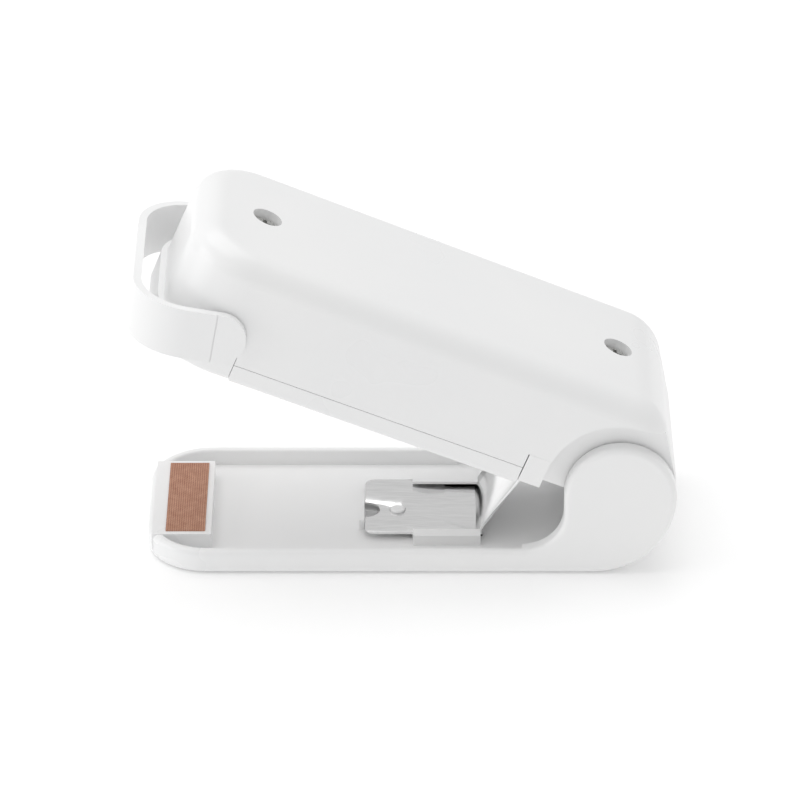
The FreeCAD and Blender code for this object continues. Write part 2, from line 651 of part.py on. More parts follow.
def make_chassis():
    """Lower housing: nose with the heater's window, battery bay, screw bosses and hinge barrel."""
    part = Moulding("chassis")
    nose = part.sketch("nose", "XY", "-nose_bottom")
    draw_outline(nose, [
        ("-nose_reach", "-jaw_half", "nose_corner"), ("-door_front - seam_gap", "-jaw_half"),
        ("-door_front - seam_gap", "jaw_half"), ("-nose_reach", "jaw_half", "nose_corner"),
    ])
    part.pad("nose", nose, "nose_bottom + seam_high")
    low = -number("nose_bottom")
    part.fillet("nose_edge", "door_round", lambda e: at(e, "z", low) and not at(e, "x", -number(
        "door_front + seam_gap")))
    room = part.sketch("nose_room", "XY", "seam_high")
    inner = "(jaw_half - wall)"
    draw_outline(room, [
        ("-nose_reach + wall", "-" + inner, "nose_corner - wall"), ("-nose_rear", "-" + inner),
        ("-nose_rear", inner), ("-nose_reach + wall", inner, "nose_corner - wall"),
    ])
    part.pocket("nose_room", room, "nose_bottom + seam_high - nose_floor")

    bay_out, bay_in = "(bay_half + bay_wall)", "bay_half"
    bay = part.sketch("bay", "YZ", "-bay_front")
    draw_outline(bay, [
        ("-" + bay_out, "-seam_low + fit_gap"), (bay_out, "-seam_low + fit_gap"),
        (bay_out, "bay_roof + bay_wall", "shell_round"),
        ("-" + bay_out, "bay_roof + bay_wall", "shell_round"),
    ])
    part.pad("bay", bay, "bay_front - bay_rear + bay_wall")
    block = part.sketch("hinge_block", "XY", "-rear_bottom")
    draw_box(block, "-block_front", "-block_rear", "-jaw_half", "jaw_half")
    part.pad("hinge_block", block, "rear_bottom + seam_high")
    barrel = part.sketch("barrel", "XZ")
    draw_circle(barrel, "0", "0", "ear_radius")
    part.pad("barrel", barrel, "2 * barrel_half", "both")
    bridge = part.sketch("bridge", "XZ")
    draw_box(bridge, "-block_front", "0", "-rear_bottom", "seam_high")
    part.pad("bridge", bridge, "2 * barrel_half", "both")
    above = part.sketch("above_barrel", "XZ")
    draw_box(above, "-bay_rear + bay_wall", "ear_radius + wall", "seam_high", "ear_radius + wall")
    part.pocket("above_barrel", above, "3 * jaw_half", "both")
    hollow = part.sketch("barrel_hollow", "XZ")
    plate = "2 * (barrel_half - trunnion_reach + side_gap)"
    draw_circle(hollow, "0", "0", "ear_radius - wall")
    part.pocket("barrel_hollow", hollow, plate, "both")
    trough = part.sketch("bridge_hollow", "XZ")
    draw_box(trough, "-bay_rear + bay_wall", "0", "-rear_bottom + wall", "seam_high + wall")
    part.pocket("bridge_hollow", trough, plate, "both")
    cells = part.sketch("cell_room", "YZ", "-bay_fore")
    draw_outline(cells, [
        ("-" + bay_in, "-rear_bottom - wall"), (bay_in, "-rear_bottom - wall"),
        (bay_in, "bay_roof", "shell_round - bay_wall"), ("-" + bay_in, "bay_roof", "shell_round - bay_wall"),
    ])
    part.pocket("cell_room", cells, "bay_fore - bay_rear", "back")

    saddle = part.sketch("saddle", "XZ")
    radius = "(trunnion_radius + bearing_gap)"
    draw_circle(saddle, "0", "0", radius)
    part.pocket("saddle", saddle, "2 * ear_inside", "both")
    slot = part.sketch("saddle_slot", "XZ")
    draw_box(slot, "-" + radius, radius, "0", "seam_high + wall")
    part.pocket("saddle_slot", slot, "2 * ear_inside", "both")

    for end, distance, foot in (("front", "screw_front", "boss_foot"),
                                ("rear", "screw_rear", "-rear_bottom + wall / 2")):
        top = "(%s - seat_thickness - bearing_gap)" % seat_at(distance)
        if end == "front":
            notch = part.sketch("roof_notch", "XY", top)
            draw_circle(notch, "-" + distance, "0", "recess_radius + wall + fit_gap")
            part.pocket("roof_notch", notch, "shell_height", "back")
        boss = part.sketch(end + "_boss", "XY", foot)
        draw_circle(boss, "-" + distance, "0", "boss_radius")
        part.pad(end + "_boss", boss, "%s - (%s)" % (top, foot))
        bore = part.sketch(end + "_bore", "XY", top)
        draw_circle(bore, "-" + distance, "0", "shank_radius + bearing_gap / 2")
        part.pocket(end + "_bore", bore, "shank_length")

    window = part.sketch("window", "XY", "-nose_bottom + nose_floor")
    half_x = "(head_length / 2 + tape_thickness + head_play)"
    half_y = "(head_width / 2 + head_play)"
    draw_box(window, "%s - %s" % (HEAD_ALONG, half_x), "%s + %s" % (HEAD_ALONG, half_x), "-" + half_y, half_y)
    part.pocket("window", window, "2 * nose_floor")
    ledges = part.sketch("ledges", "XY", "-nose_bottom + nose_floor / 2")
    near = "(head_width / 2 + flange_reach + head_play)"
    for sign in ("", "-"):
        ends = sorted([sign + near, "%s(%s + ledge_width)" % (sign, near)], key=number)
        draw_box(ledges, "%s - blade_width / 2" % HEAD_ALONG, "%s + blade_width / 2" % HEAD_ALONG, *ends)
    part.pad("ledges", ledges, "ledge_height + nose_bottom - nose_floor / 2")

    grooves = part.sketch("door_grooves", "XZ", "jaw_half - wall + fit_gap")
    draw_box(grooves, "-door_front - seam_gap - tongue_reach - fit_gap", "-door_front",
             "-door_bottom + door_floor - fit_gap", "-door_bottom + door_floor + tongue_height + fit_gap")
    draw_box(grooves, "-door_rear", "-door_rear + seam_gap + tongue_reach + fit_gap",
             "-door_bottom + door_floor - fit_gap", "-door_bottom + door_floor + tongue_height + fit_gap")
    part.pocket("door_grooves", grooves, "3 * jaw_half")
    tongue_slot = part.sketch("tongue_slot", "YZ", "-bay_front")
    bottom = "(ledge_height + blade_sheet + switch_lift)"
    half_slot = "(blade_width / 2 + fit_gap)"
    draw_box(tongue_slot, "cell_pitch / 2 - " + half_slot, "cell_pitch / 2 + " + half_slot,
             bottom + " - fit_gap", bottom + " + contact_sheet + fit_gap")
    part.pocket("tongue_slot", tongue_slot, "2 * bay_end", "back")
    lead_hole = part.sketch("lead_hole", "YZ", "-bay_front")
    draw_circle(lead_hole, "-cell_pitch / 2 - 2 * lead_radius", "seam_high + 3 * lead_radius",
                "lead_radius + fit_gap")
    part.pocket("lead_hole", lead_hole, "2 * bay_end", "back")
    deliver(part, "jaw")


def make_battery_door():
    """Battery cover that slides out sideways between nose and hinge block."""
    door = Moulding("battery_door")
    plan = door.sketch("plan", "XY", "-door_bottom")
    draw_box(plan, "-door_front", "-door_rear", "-jaw_half", "jaw_half")
    door.pad("plate", plan, "door_bottom - seam_low - seam_gap")
    low = -number("door_bottom")
    door.fillet("edges", "door_round", lambda e: at(e, "z", low))
    room = door.sketch("room", "XY", "-seam_low - seam_gap")
    draw_box(room, "-door_front + wall", "-door_rear - wall", "-jaw_half + wall", "jaw_half - wall")
    door.pocket("room", room, "door_bottom - seam_low - seam_gap - door_floor")
    tongues = door.sketch("tongues", "XY", "-door_bottom + door_floor")
    reach = "seam_gap + tongue_reach"
    inner = "(jaw_half - wall)"
    draw_box(tongues, "-door_front - " + reach, "-door_front + wall / 2", "-" + inner, inner)
    draw_box(tongues, "-door_rear - wall / 2", "-door_rear + " + reach, "-" + inner, inner)
    door.pad("tongues", tongues, "tongue_height")
    deliver(door, "jaw")


def make_lock_loop():
    """Strap round the nose; swung down it hooks under the base and keeps the jaws shut."""
    loop = Moulding("lock_loop")
    side = loop.sketch("side", "XZ")
    outer_x = "-loop_reach - loop_sheet"
    draw_outline(side, [
        (outer_x, "-loop_half"), ("loop_half", "-loop_half", "0.999 * loop_half"),
        ("loop_half", "loop_half", "0.999 * loop_half"), (outer_x, "loop_half"),
    ])
    loop.pad("strap", side, "2 * (jaw_half + loop_gap + loop_sheet)", "both")
    front = number(outer_x)
    loop.fillet("bends", "loop_corner + loop_sheet", lambda e: at(e, "x", front) and e.BoundBox.ZLength > 1)
    inside = loop.sketch("inside", "XY", "-2 * loop_half")
    half = "(jaw_half + loop_gap)"
    draw_outline(inside, [
        ("-loop_reach", "-" + half, "loop_corner"), ("2 * loop_half", "-" + half),
        ("2 * loop_half", half), ("-loop_reach", half, "loop_corner"),
    ])
    loop.pocket("inside", inside, "4 * loop_half", "back")
    pins = loop.sketch("pins", "XZ")
    draw_circle(pins, "0", "0", "loop_pin_radius")
    loop.pad("pins", pins, "2 * jaw_half + loop_sheet", "both")
    between = loop.sketch("between_pins", "XZ")
    draw_circle(between, "0", "0", "loop_pin_radius + 1")
    loop.pocket("between_pins", between, "2 * (jaw_half - wall - bearing_gap)", "both")
    for side, sign, way in (("near", "", "normal"), ("far", "-", "back")):
        crease = loop.sketch("crease_" + side, "XZ", "%s(jaw_half + loop_gap + loop_sheet)" % sign)
        draw_box(crease, "-crease_reach", "-crease_reach + crease_depth", "-2 * loop_half", "2 * loop_half")
        loop.pocket("crease_" + side, crease, "crease_depth", way)
    deliver(loop, "loop")


def make_screws():
    """Two cross-head screws that hold the cover on the lower housing."""
    screws = Moulding("shell_screws")
    for end, distance in (("front", "screw_front"), ("rear", "screw_rear")):
        seat = seat_at(distance)
        head = screws.sketch(end + "_head", "XY", seat)
        draw_circle(head, "-" + distance, "0", "head_radius")
        screws.pad(end + "_head", head, "head_height")
        shank = screws.sketch(end + "_shank", "XY", seat)
        draw_circle(shank, "-" + distance, "0", "shank_radius")
        screws.pad(end + "_shank", shank, "shank_length", "back")
        cross = screws.sketch(end + "_cross", "XY", seat + " + head_height")
        arm, half = "head_radius * 0.6", "slot_width / 2"
        draw_outline(cross, [("-%s %s" % (distance, x), y) for x, y in (
            ("- " + arm, "-" + half), ("- " + half, "-" + half), ("- " + half, "-" + arm),
            ("+ " + half, "-" + arm), ("+ " + half, "-" + half), ("+ " + arm, "-" + half),
            ("+ " + arm, half), ("+ " + half, half), ("+ " + half, arm),
            ("- " + half, arm), ("- " + half, half), ("- " + arm, half))])
        screws.pocket(end + "_cross", cross, "head_height * 0.7")
        top = number(seat + " + head_height")
        across = 2 * number("head_radius")
        screws.fillet(end + "_dome", "head_height / 3",
                      lambda e: at(e, "z", top) and abs(e.BoundBox.XLength - across) < 1e-3)
    deliver(screws, "jaw")


# ---------------------------------------------------------------------------------------------------
# Batteries, contacts and switch
# ---------------------------------------------------------------------------------------------------
def make_cells():
    """Two AA cells, side by side and head to tail."""
    for label, sign, start, way in (("aa_cell_left", "", "-bay_fore + contact_sheet", 1),
                                    ("aa_cell_right", "-", "-bay_rear - contact_sheet", -1)):
        cell = Moulding(label)
        step, side = ("", "normal") if way > 0 else ("-", "back")
        cap = cell.sketch("cap", "YZ", start)
        draw_circle(cap, sign + "cell_pitch / 2", "cell_height", "cap_radius")
        cell.pad("cap", cap, "cap_length + cap_radius / 2", side)
        body = cell.sketch("can", "YZ", "%s + %s(cap_length)" % (start, step))
        draw_circle(body, sign + "cell_pitch / 2", "cell_height", "cell_radius")
        cell.pad("can", body, "cell_body", side)
        cell.fillet("rims", "cell_radius / 14", lambda e: (
            e.BoundBox.XLength < 1e-3 and e.BoundBox.ZLength > 1.9 * number("cell_radius")))
        deliver(cell, "jaw")


def contact_plate(label, plane_at, low, high):
    """Upright contact plate across the end of the bay."""
    plate = Moulding(label)
    face = plate.sketch("plate", "YZ", plane_at)
    draw_box(face, low, high, "cell_height - contact_width / 2", "cell_height + contact_width / 2")
    plate.pad("plate", face, "contact_sheet")
    return plate


def add_tongue(plate, side, way, level):
    """Bent tongue lanced out of a plate, pressing on the flat end of a cell."""
    room = "(bay_fore - bay_rear - 2 * contact_sheet - cell_body - cap_length)"
    root = "-bay_fore + contact_sheet" if way > 0 else "-bay_rear - contact_sheet"
    step = "+" if way > 0 else "-"
    tongue = plate.sketch("tongue", "XZ", level)
    draw_outline(tongue, [
        (root, "cell_height + tongue_rise"),
        ("%s %s %s" % (root, step, room), "cell_height + tongue_face"),
        ("%s %s %s" % (root, step, room), "cell_height - tongue_face"),
        ("%s %s (%s - contact_sheet)" % (root, step, room), "cell_height - tongue_face"),
        ("%s %s (%s - contact_sheet)" % (root, step, room), "cell_height + tongue_face / 2"),
        (root, "cell_height + tongue_rise - 2 * tongue_face"),
    ])
    plate.pad("tongue", tongue, "contact_width / 2", side)


def make_contacts():
    """Three contact plates and the switch blade."""
    half = "contact_width / 2"
    plus = contact_plate("positive_contact", "-bay_fore",
                         "cell_pitch / 2 - " + half, "cell_pitch / 2 + " + half)
    bottom = "ledge_height + blade_sheet + switch_lift"
    tongue = plus.sketch("switch_tongue", "XY", bottom)
    draw_box(tongue, HEAD_ALONG + " - blade_width / 2", "-bay_fore + contact_sheet / 2",
             "cell_pitch / 2 - blade_width / 2", "cell_pitch / 2 + blade_width / 2")
    plus.pad("switch_tongue", tongue, "contact_sheet")
    deliver(plus, "jaw")

    minus = contact_plate("negative_contact", "-bay_fore",
                          "-cell_pitch / 2 - " + half, "-cell_pitch / 2 + " + half)
    add_tongue(minus, "both", 1, "cell_pitch / 2")
    deliver(minus, "jaw")

    bridge = contact_plate("bridge_contact", "-bay_rear - contact_sheet",
                           "-cell_pitch / 2 - " + half, "cell_pitch / 2 + " + half)
    add_tongue(bridge, "both", -1, "-cell_pitch / 2")
    deliver(bridge, "jaw")

    reach = "(head_width / 2 + flange_reach + head_play + ledge_width - fit_gap)"
    blade = slab("switch_blade", HEAD_ALONG + " - blade_width / 2", HEAD_ALONG + " + blade_width / 2",
                 "-" + reach, reach, "ledge_height", "blade_sheet")
    deliver(blade, "jaw")


def make_lead(label, plane, level, corners, end_plane, end_level, centre):
    """Insulated wire swept along a path of straight runs."""
    lead = Moulding(label)
    path = lead.sketch("path", plane, level)
    draw_path(path, corners)
    ring = lead.sketch("ring", end_plane, end_level)
    draw_circle(ring, centre[0], centre[1], "lead_radius")
    pipe = lead.step("PartDesign::AdditivePipe", "wire")
    pipe.Profile = ring
    pipe.Spine = (path, ["Edge%d" % i for i in range(1, len(corners))])
    pipe.Transition = "Round corner"
    doc.recompute()
    deliver(lead, "jaw")


def make_leads():
    """Wires from the two ends of the heating strip to the blade and to the negative contact."""
    lug_top = jaw_height("seal_face + head_depth + tape_thickness + strip_thickness + mica_thickness"
                         " + contact_sheet")
    blade_y = "(head_width / 2 + flange_reach - lead_radius)"
    lug_y = "(head_width / 2 - lug_width / 2)"
    middle = "(ledge_height / 2)"
    make_lead("blade_lead", "YZ", HEAD_ALONG, [
        (blade_y, "ledge_height"), (blade_y, middle), (lug_y, middle), (lug_y, lug_top + " + 0.1")],
        "XY", "ledge_height", (HEAD_ALONG, blade_y))
    height = "(seam_high + 3 * lead_radius)"
    make_lead("heater_lead", "XZ", "cell_pitch / 2 + 2 * lead_radius", [
        ("-bay_fore", height), (HEAD_ALONG, height), (HEAD_ALONG, lug_top + " + 0.1")],
        "YZ", "-bay_fore", ("-cell_pitch / 2 - 2 * lead_radius", height))


def jaw_height(level):
    """Height in the jaw's frame of a level of the head, at the middle of the head."""
    return "((hinge_x - head_mid) * sin(shut_angle) + (%s - hinge_height) * cos(shut_angle))" % level


# ---------------------------------------------------------------------------------------------------
# Heater head, drawn as it lies on the pad with the jaws shut
# ---------------------------------------------------------------------------------------------------
def make_heater_head():
    """Insulating block with mica, heating strip, cover tape and terminal lugs."""
    half_x, half_y = "(head_length / 2)", "(head_width / 2)"
    sides = ("head_mid - " + half_x, "head_mid + " + half_x, "-" + half_y, half_y)
    strip_at = "(seal_face + tape_thickness)"
    mica_at = "(%s + strip_thickness)" % strip_at
    block_at = "(%s + mica_thickness)" % mica_at
    block_top = "(%s + head_depth)" % block_at

    block = Moulding("heater_carrier")
    plan = block.sketch("plan", "XY", block_at)
    draw_box(plan, *sides)
    block.pad("block", plan, "head_depth")
    flange = block.sketch("flange", "XY", "seal_face + flange_lift")
    draw_box(flange, sides[0], sides[1], sides[2] + " - flange_reach", sides[3] + " + flange_reach")
    block.pad("flange", flange, "flange_thickness")
    notches = block.sketch("notches", "XY", block_top)
    for sign in ("", "-"):
        ends = sorted(["%s(%s - strip_thickness)" % (sign, half_y), "%s%s" % (sign, half_y)], key=number)
        draw_box(notches, "head_mid - strip_width / 2", "head_mid + strip_width / 2", *ends)
    block.pocket("notches", notches)
    stem_top = ("(hinge_height + %s * sin(shut_angle) + (ledge_height - stem_gap) * cos(shut_angle)"
                " - stem_radius * sin(shut_angle))" % HEAD_ALONG)
    stem = block.sketch("stem", "XY", block_top)
    draw_circle(stem, "head_mid", "0", "stem_radius")
    block.pad("stem", stem, "%s - %s" % (stem_top, block_top))
    deliver(block, "head")

    deliver(slab("mica_sheet", sides[0], sides[1], "-%s + strip_thickness" % half_y,
                 "%s - strip_thickness" % half_y, mica_at, "mica_thickness"), "head")

    strip = Moulding("heater_strip")
    bent = strip.sketch("bent", "YZ", "head_mid")
    inner = "(%s - strip_thickness)" % half_y
    draw_outline(bent, [
        ("-" + half_y, strip_at), (half_y, strip_at), (half_y, block_top), (inner, block_top),
        (inner, mica_at), ("-" + inner, mica_at), ("-" + inner, block_top), ("-" + half_y, block_top)])
    strip.pad("strip", bent, "strip_width", "both")
    deliver(strip, "head")

    cover = Moulding("heater_cover")
    wrap = cover.sketch("wrap", "XZ")
    left, right = "head_mid - %s" % half_x, "head_mid + %s" % half_x
    draw_outline(wrap, [
        (left + " - tape_thickness", "seal_face", "tape_thickness"),
        (right + " + tape_thickness", "seal_face", "tape_thickness"),
        (right + " + tape_thickness", "seal_face + flange_lift"), (right, "seal_face + flange_lift"),
        (right, strip_at), (left, strip_at), (left, "seal_face + flange_lift"),
        (left + " - tape_thickness", "seal_face + flange_lift")])
    cover.pad("wrap", wrap, "head_width", "both")
    deliver(cover, "head")

    lugs = Moulding("terminal_lugs")
    for side, sign in (("near", "-"), ("far", "")):
        ends = sorted(["%s(%s - lug_width)" % (sign, half_y), "%s%s" % (sign, half_y)], key=number)
        plate = lugs.sketch(side + "_plate", "XY", block_top)
        draw_box(plate, "head_mid - lug_width / 2", "head_mid + lug_width / 2", *ends)
        lugs.pad(side + "_plate", plate, "contact_sheet")
    deliver(lugs, "head")


def finish():
    """Check every object and write one STEP file per node."""
    doc.recompute()
    faults = [item.Name for item in doc.Objects if {"Invalid", "Error"} & set(item.State)]
    faults += [node.Label for node in NODES if node.Shape.isNull() or not node.Shape.isValid()]
    if faults:
        raise RuntimeError("failed objects: " + ", ".join(faults))
    os.makedirs("parts", exist_ok=True)
    for node in NODES:
        node.Shape.exportStep("parts/%s.step" % node.Label)
        print("%-20s %9.1f mm3  %d solid" % (node.Label, node.Shape.Volume, len(node.Shape.Solids)))


make_base_shell()
make_sealing_pad()
make_leaf_spring()
make_top_shell()
make_chassis()
make_battery_door()
make_lock_loop()
make_screws()
make_cells()
make_contacts()
make_leads()
make_heater_head()
finish()
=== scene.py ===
# %% [markdown]
# # A handheld bag heat sealer
# A small clamp of white plastic, with a strip that melts the mouth of a bag shut. The shapes of the hard
# parts come from the imported model. This lesson gives them their finishes, models the bent spring again
# and sets up a plain studio.

# %% Load the imported model
import math

import bpy
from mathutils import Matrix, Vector


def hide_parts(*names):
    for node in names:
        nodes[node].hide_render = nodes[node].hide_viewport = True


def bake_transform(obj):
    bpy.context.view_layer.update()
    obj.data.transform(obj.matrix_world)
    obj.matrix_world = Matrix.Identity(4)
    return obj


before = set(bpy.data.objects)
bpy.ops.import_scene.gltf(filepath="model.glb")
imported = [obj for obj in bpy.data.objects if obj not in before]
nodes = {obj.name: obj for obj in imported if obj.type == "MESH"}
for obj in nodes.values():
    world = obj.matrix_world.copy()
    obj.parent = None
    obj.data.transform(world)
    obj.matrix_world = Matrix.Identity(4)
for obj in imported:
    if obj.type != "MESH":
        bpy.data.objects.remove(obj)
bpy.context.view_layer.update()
bpy.ops.object.select_all(action="DESELECT")
print("pieces loaded:", len(nodes))

# %% [markdown]
# ## Camera
# The camera looks square at the long side and down at it by about thirty degrees. A long lens from almost
# a metre away keeps the perspective as flat as in a catalogue picture.

# %% Camera
TILT_DOWN = math.radians(28.5)
DISTANCE = 0.9087
AIM_RIGHT, AIM_UP = -0.0018, 0.0208
LENS = 234
SENSOR = 36
SEES_AS_FAR_AS = 10

up = Vector((0, math.sin(TILT_DOWN), math.cos(TILT_DOWN)))
ahead = Vector((0, math.cos(TILT_DOWN), -math.sin(TILT_DOWN)))
bpy.ops.object.camera_add(location=Vector((AIM_RIGHT, 0, 0)) + up * AIM_UP - ahead * DISTANCE,
                          rotation=(math.pi / 2 - TILT_DOWN, 0, 0))
camera = bpy.context.object
camera.data.sensor_width = SENSOR
camera.data.lens = LENS
camera.data.clip_end = SEES_AS_FAR_AS
bpy.context.scene.camera = camera
bpy.context.scene.view_settings.view_transform = "Standard"
print("camera at", [round(value, 3) for value in camera.location], "with a", LENS, "mm lens")

# %% [markdown]
# ## Studio
# White on white needs big soft lights. A bright world fills every shadow, and a large softbox overhead
# lifts the faces that look up, so that the side walls come out one shade darker than the top. A second
# softbox on the left shines in through the open jaw and lights the tray. The floor glows a little, so that
# it stays paler than the plastic.

# %% Floor and lights
def new_finish(name, roughness, metallic=0):
    """Material with its node tree and its shader, ready for links."""
    finish = bpy.data.materials.new(name)
    finish.use_nodes = True
    shader = finish.node_tree.nodes["Principled BSDF"]
    shader.inputs["Roughness"].default_value = roughness
    shader.inputs["Metallic"].default_value = metallic
    return finish, finish.node_tree, shader


WHITE = (1, 1, 1, 1)
FLOOR_SIZE, FLOOR_DROP = 6, 0.0002
WORLD_STRENGTH = 0.63
pale, tree, shader = new_finish("pale_floor", 0.6)
shader.inputs["Base Color"].default_value = (0.97, 0.97, 0.97, 1)
shader.inputs["Emission Color"].default_value = WHITE
shader.inputs["Emission Strength"].default_value = 0.12
bpy.ops.mesh.primitive_plane_add(size=FLOOR_SIZE, location=(0, 0, -FLOOR_DROP))
floor = bpy.context.object
floor.name = "studio_floor"
floor.data.materials.append(pale)

world = bpy.context.scene.world or bpy.data.worlds.new("studio")
bpy.context.scene.world = world
world.use_nodes = True
world.node_tree.nodes["Background"].inputs["Color"].default_value = WHITE
world.node_tree.nodes["Background"].inputs["Strength"].default_value = WORLD_STRENGTH


MIDDLE = Vector((0, 0, 0.02))


def softbox(name, place, size, power):
    """Square area light that points at the middle of the sealer."""
    bpy.ops.object.light_add(type="AREA", location=place)
    lamp = bpy.context.object
    lamp.name = name
    lamp.rotation_euler = (MIDDLE - Vector(place)).to_track_quat("-Z", "Y").to_euler()
    lamp.data.size = size
    lamp.data.energy = power


softbox("overhead_softbox", (-0.1, 0.2, 0.9), 0.9, 3.6)
softbox("left_softbox", (-0.9, -0.1, 0.25), 0.6, 1.8)

# %% [markdown]
# ## Where a pattern sits
# Every finish reads the position of a point on the piece. The upper jaw stands open at an angle, so a
# pattern that has to run along the jaw is first turned and moved into the jaw's own directions.

# %% Position inputs
HINGE = Vector((0.0358, 0, 0.0157))
OPEN_ANGLE = math.radians(22)


def place_on_piece(tree, along_jaw=False, stretch=(1, 1, 1)):
    """Object coordinates, turned into the directions of the open jaw if asked, and stretched."""
    position = tree.nodes.new("ShaderNodeTexCoord").outputs["Object"]
    if along_jaw:
        turn = tree.nodes.new("ShaderNodeMapping")
        turn.vector_type = "TEXTURE"
        turn.inputs["Location"].default_value = HINGE
        turn.inputs["Rotation"].default_value = (0, OPEN_ANGLE, 0)
        tree.links.new(position, turn.inputs["Vector"])
        position = turn.outputs["Vector"]
    scale = tree.nodes.new("ShaderNodeMapping")
    scale.inputs["Scale"].default_value = stretch
    tree.links.new(position, scale.inputs["Vector"])
    return scale.outputs["Vector"]


print("jaw turned by", round(math.degrees(OPEN_ANGLE)), "degrees")

# %% [markdown]
# ## Small helpers for surfaces
# Nothing real has one even colour. Most surfaces here start from a noise that drifts over the piece. A
# ramp turns the noise into colours, a map range into more or less gloss, and a bump into relief.

# %% Noise, ramp and bump
def drift(tree, position, grain, detail=3):
    """Noise with features of about the given size, in metres."""
    noise = tree.nodes.new("ShaderNodeTexNoise")
    noise.inputs["Scale"].default_value = 1 / grain
    noise.inputs["Detail"].default_value = detail
    tree.links.new(position, noise.inputs["Vector"])
    return noise.outputs["Fac"]


def ramp(tree, value, stops, blend="LINEAR"):
    """Colours at stops of (position, colour), blended or in sharp steps."""
    node = tree.nodes.new("ShaderNodeValToRGB")
    node.color_ramp.interpolation = blend
    while len(node.color_ramp.elements) < len(stops):
        node.color_ramp.elements.new(0.5)
    for element, (spot, colour) in zip(node.color_ramp.elements, stops):
        element.position = spot
        element.color = (*colour, 1)
    tree.links.new(value, node.inputs["Fac"])
    return node.outputs["Color"]


def between(tree, value, low, high):
    """A value from 0 to 1 spread between two numbers."""
    node = tree.nodes.new("ShaderNodeMapRange")
    node.inputs["To Min"].default_value = low
    node.inputs["To Max"].default_value = high
    tree.links.new(value, node.inputs["Value"])
    return node.outputs["Result"]


def relief(tree, shader, value, depth, strength):
    """Bump of the given depth in metres, at a share of its full strength."""
    node = tree.nodes.new("ShaderNodeBump")
    node.inputs["Distance"].default_value = depth
    node.inputs["Strength"].default_value = strength
    tree.links.new(value, node.inputs["Height"])
    tree.links.new(node.outputs["Normal"], shader.inputs["Normal"])


def dress(finish, *names):
    """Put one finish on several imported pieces."""
    for name in names:
        nodes[name].data.materials.clear()
        nodes[name].data.materials.append(finish)
    print(finish.name, "on", ", ".join(names))


# %% [markdown]
# ## White plastic
# The housings are injection moulded ABS from a polished mould: nearly white, glossy, and with the very
# faint waviness that shrinking plastic leaves behind. One slow drift changes colour and gloss a little, as
# the flow of the melt does, and a very shallow fine bump breaks up the reflections.

# %% Plastic
plastic, tree, shader = new_finish("white_plastic", 0.28)
wide = drift(tree, place_on_piece(tree), 0.03)
tree.links.new(ramp(tree, wide, [(0.3, (0.905, 0.908, 0.91)), (0.7, (0.93, 0.93, 0.927))]),
               shader.inputs["Base Color"])
fine = drift(tree, place_on_piece(tree), 0.0006, detail=2)
tree.links.new(between(tree, wide, 0.24, 0.34), shader.inputs["Roughness"])
relief(tree, shader, fine, 0.000002, 0.2)
dress(plastic, "base_shell", "top_shell", "chassis", "battery_door", "lock_loop")

# %% [markdown]
# ## Glass cloth tape
# The pad is covered with glass cloth soaked in brown fluoropolymer. It is a plain weave with threads about
# 0.4 mm apart. Two sets of bands make the threads, and a chequer of the same pitch decides which thread is
# on top at each crossing, just as on a loom. The colour follows the height of the weave: painted shade
# darkens the low spots between the threads, and a painted highlight lightens the crowns.

# %% Tape
THREAD = 0.00038
WAVE_RADIANS = 20  # a wave texture turns by this many radians over one unit of length at scale one


def bands(tree, position, direction):
    """Rounded threads side by side along one direction."""
    wave = tree.nodes.new("ShaderNodeTexWave")
    wave.wave_type = "BANDS"
    wave.bands_direction = direction
    wave.inputs["Scale"].default_value = 2 * math.pi / (WAVE_RADIANS * THREAD)
    wave.inputs["Distortion"].default_value = 0.5
    tree.links.new(position, wave.inputs["Vector"])
    return wave.outputs["Fac"]


def woven(name, dark, middle, light, along_jaw=False):
    """Plain weave in three tones, with painted shade in the low spots and a painted highlight on the
    crowns.
    """
    cloth, tree, shader = new_finish(name, 0.5)
    position = place_on_piece(tree, along_jaw)
    chequer = tree.nodes.new("ShaderNodeTexChecker")
    chequer.inputs["Scale"].default_value = 1 / THREAD
    flat_position = tree.nodes.new("ShaderNodeVectorMath")
    flat_position.operation = "MULTIPLY"
    flat_position.inputs[1].default_value = (1, 1, 0)
    tree.links.new(position, flat_position.inputs[0])
    tree.links.new(flat_position.outputs["Vector"], chequer.inputs["Vector"])
    weave = tree.nodes.new("ShaderNodeMix")
    tree.links.new(chequer.outputs["Fac"], weave.inputs["Factor"])
    tree.links.new(bands(tree, position, "X"), weave.inputs["A"])
    tree.links.new(bands(tree, position, "Y"), weave.inputs["B"])
    uneven = tree.nodes.new("ShaderNodeMix")
    uneven.inputs["Factor"].default_value = 0.45
    tree.links.new(weave.outputs["Result"], uneven.inputs["A"])
    tree.links.new(drift(tree, position, 0.0015, detail=6), uneven.inputs["B"])
    height = uneven.outputs["Result"]
    # Painted shade and highlight: the tones follow the weave height, darkest in the low spots and lightest
    # on the crowns.
    tree.links.new(ramp(tree, height, [(0.15, dark), (0.5, middle), (0.85, light)]),
                   shader.inputs["Base Color"])
    tree.links.new(between(tree, height, 0.62, 0.4), shader.inputs["Roughness"])
    relief(tree, shader, height, 0.00006, 0.6)
    return cloth


brown_tape = woven("glass_cloth_tape", (0.235, 0.061, 0.022), (0.42, 0.20, 0.125), (0.68, 0.39, 0.26))
dress(brown_tape, "pad_tape")
dress(woven("heater_tape", (0.20, 0.055, 0.02), (0.36, 0.17, 0.10), (0.6, 0.34, 0.22), along_jaw=True),
      "heater_cover")

# %% [markdown]
# ## Bare metal
# Rolled strip keeps fine lines from the rollers, so the noise is stretched along one direction before it
# is used. The same helper serves steel, nickel plating, copper alloy, tinned brass and heating strip, each
# with its own tones and gloss. The spring's steel is made here too and put on in the next step.

